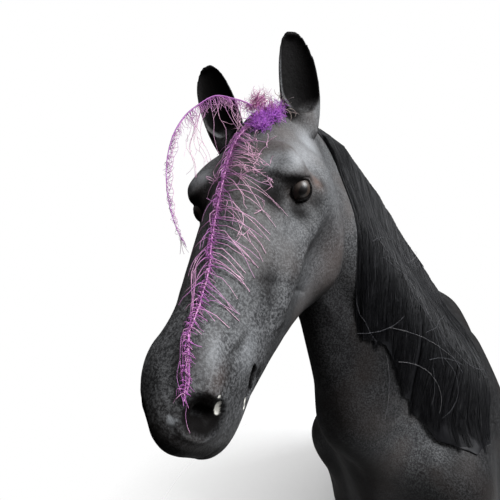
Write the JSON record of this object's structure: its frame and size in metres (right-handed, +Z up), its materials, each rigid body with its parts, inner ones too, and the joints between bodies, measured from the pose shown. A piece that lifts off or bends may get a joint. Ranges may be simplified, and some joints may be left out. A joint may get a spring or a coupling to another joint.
{
  "type": "life-size horse statue bust",
  "caption": "Life-size bust of a dark horse looking to its left, with glass eyes, a long hair mane over its left side and a purple feather plume at the poll, cut flat below.",
  "frame": {"origin": "on the flat underside of the bust, 570 mm behind the poll on the horse's middle plane", "axes": "the horse's body faces -Y, +X is its left side, +Z is up"},
  "size_m": [0.4707, 1.1796, 1.1485],
  "materials": {
    "coat": "matte charcoal-black cast resin with a fine grey coat grain, scuffed and chipped at the muzzle",
    "eye": "glossy dark brown glass eye",
    "hair": "long straight black horsehair with a soft sheen",
    "fluff": "bright violet marabou fluff",
    "feather": "magenta-purple stripped feather with pale pink barbs"
  },
  "bodies": {
    "root": {"horse_bust": "coat", "left_eye": "eye", "right_eye": "eye", "mane": "hair", "plume_tuft": "fluff", "face_feather": "feather", "arched_feather": "feather"}
  },
  "joints": []
}
